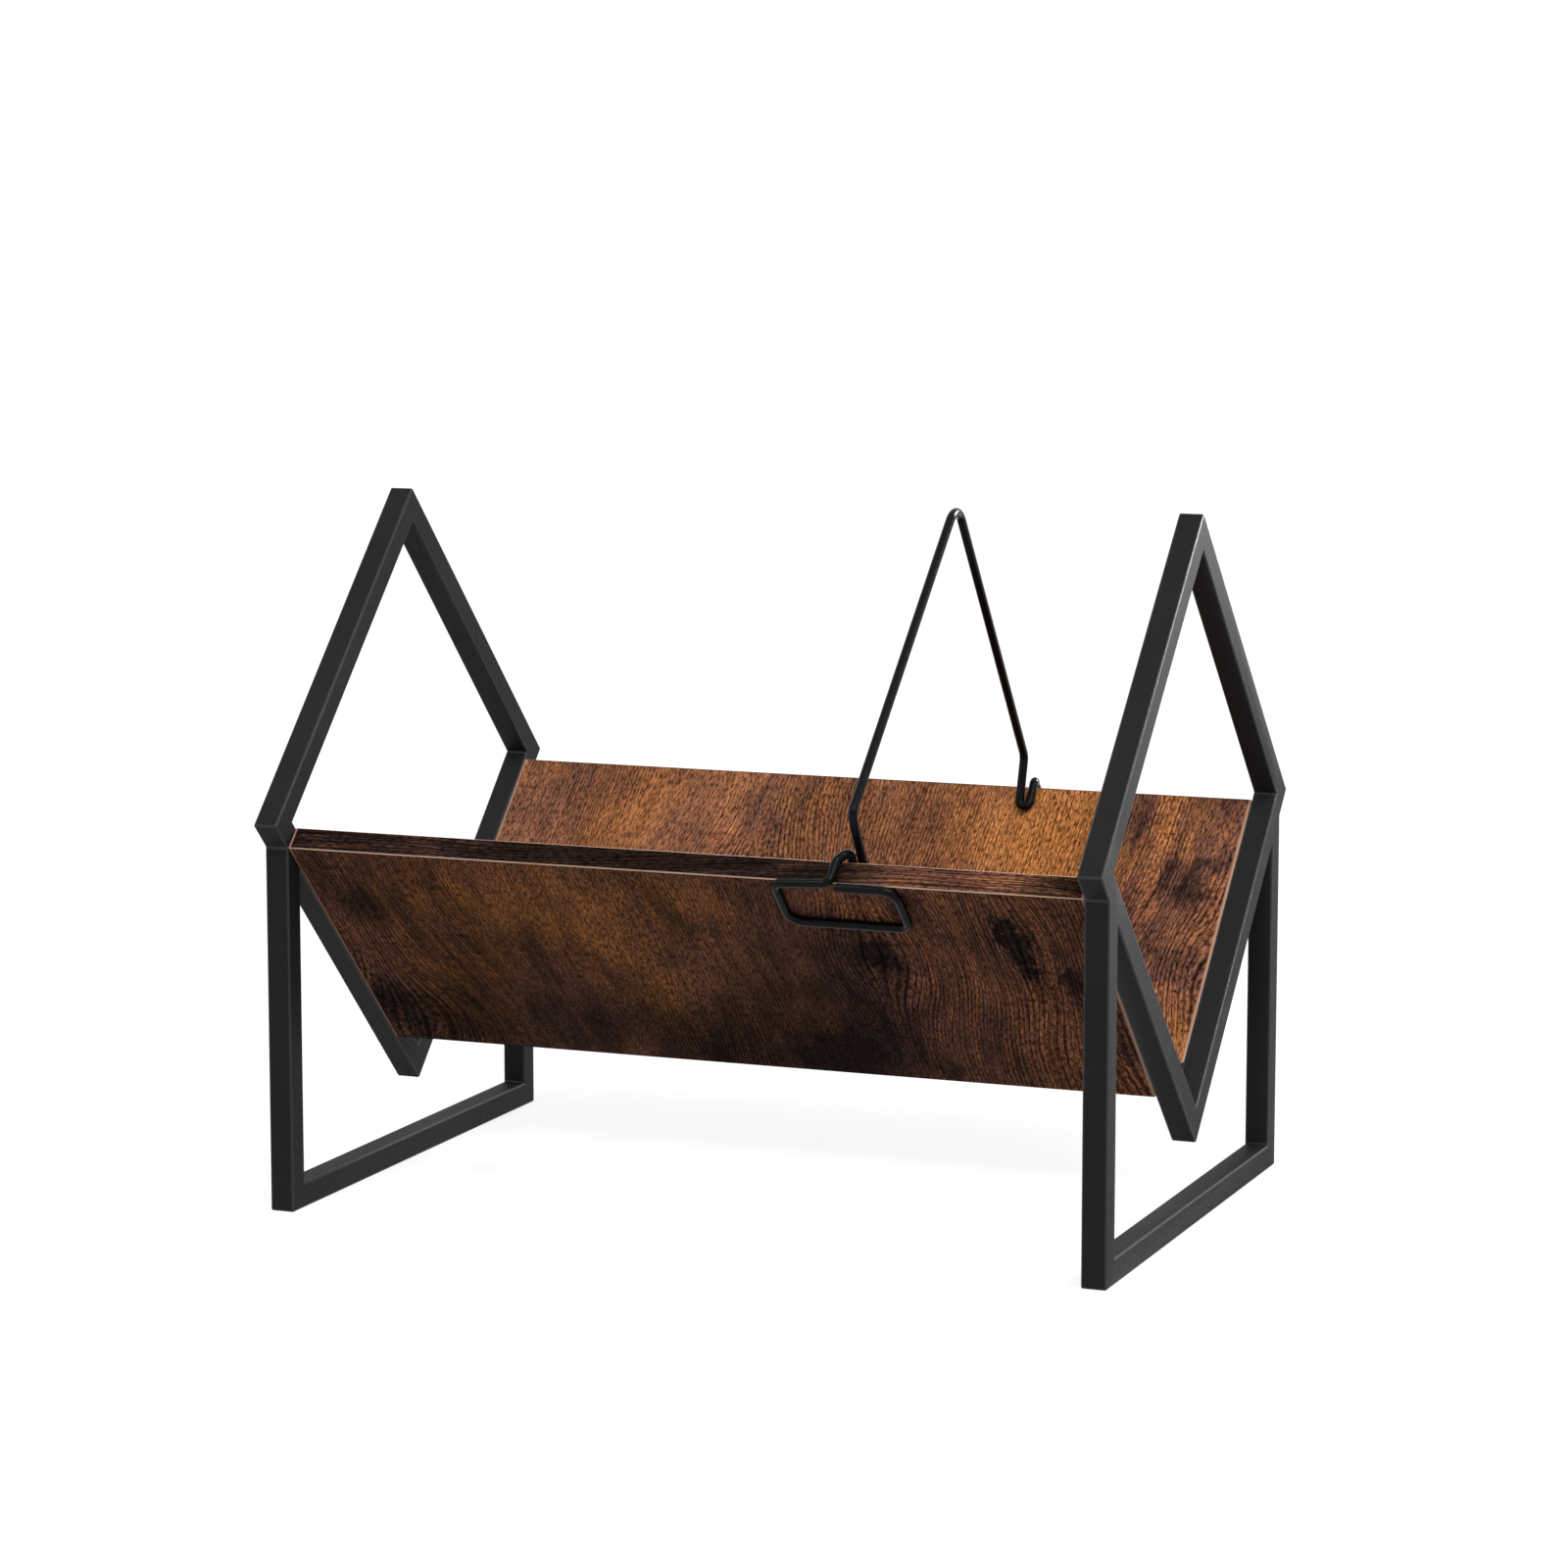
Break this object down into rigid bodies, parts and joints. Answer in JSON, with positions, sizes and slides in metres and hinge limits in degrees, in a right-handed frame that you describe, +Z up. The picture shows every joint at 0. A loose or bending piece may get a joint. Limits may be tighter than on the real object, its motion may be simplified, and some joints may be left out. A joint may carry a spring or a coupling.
{
  "type": "record storage stand",
  "caption": "Open V-trough stand of two boards between square-tube diamond end frames on legs, with a sliding bent-wire divider hooked over the boards.",
  "frame": {"origin": "on the floor under the middle of the stand, midway between the end frames and between the legs", "axes": "+X along the trough, -Y the front as pictured, +Z up"},
  "size_m": [0.45, 0.3196, 0.3616],
  "materials": {
    "steel_tube": "matte black powder coat",
    "laminate": "satin wood-grain laminate on particle board",
    "edge_band": "satin wood-grain edge band",
    "plated_steel": "zinc plated",
    "black_plastic": "matte",
    "wire": "satin black powder coat"
  },
  "bodies": {
    "stand": {"left_lower_front_tube": "steel_tube", "left_upper_front_tube": "steel_tube", "left_upper_back_tube": "steel_tube", "left_lower_back_tube": "steel_tube", "left_front_leg": "steel_tube", "left_back_leg": "steel_tube", "left_floor_rail": "steel_tube", "right_lower_front_tube": "steel_tube", "right_upper_front_tube": "steel_tube", "right_upper_back_tube": "steel_tube", "right_lower_back_tube": "steel_tube", "right_front_leg": "steel_tube", "right_back_leg": "steel_tube", "right_floor_rail": "steel_tube", "front_board": "laminate", "front_board_top_band": "edge_band", "front_board_bottom_band": "edge_band", "back_board": "laminate", "back_board_top_band": "edge_band", "back_board_bottom_band": "edge_band", "front_board_inserts": "plated_steel", "back_board_inserts": "plated_steel", "left_bolts": "plated_steel", "right_bolts": "plated_steel", "left_plugs": "black_plastic", "right_plugs": "black_plastic"},
    "divider": {"divider_wire": "wire"}
  },
  "joints": [
    {"name": "divider_slide", "type": "slide", "parent": "stand", "child": "divider", "axis": [1, 0, 0], "range_m": [-0.262, 0.082]}
  ]
}
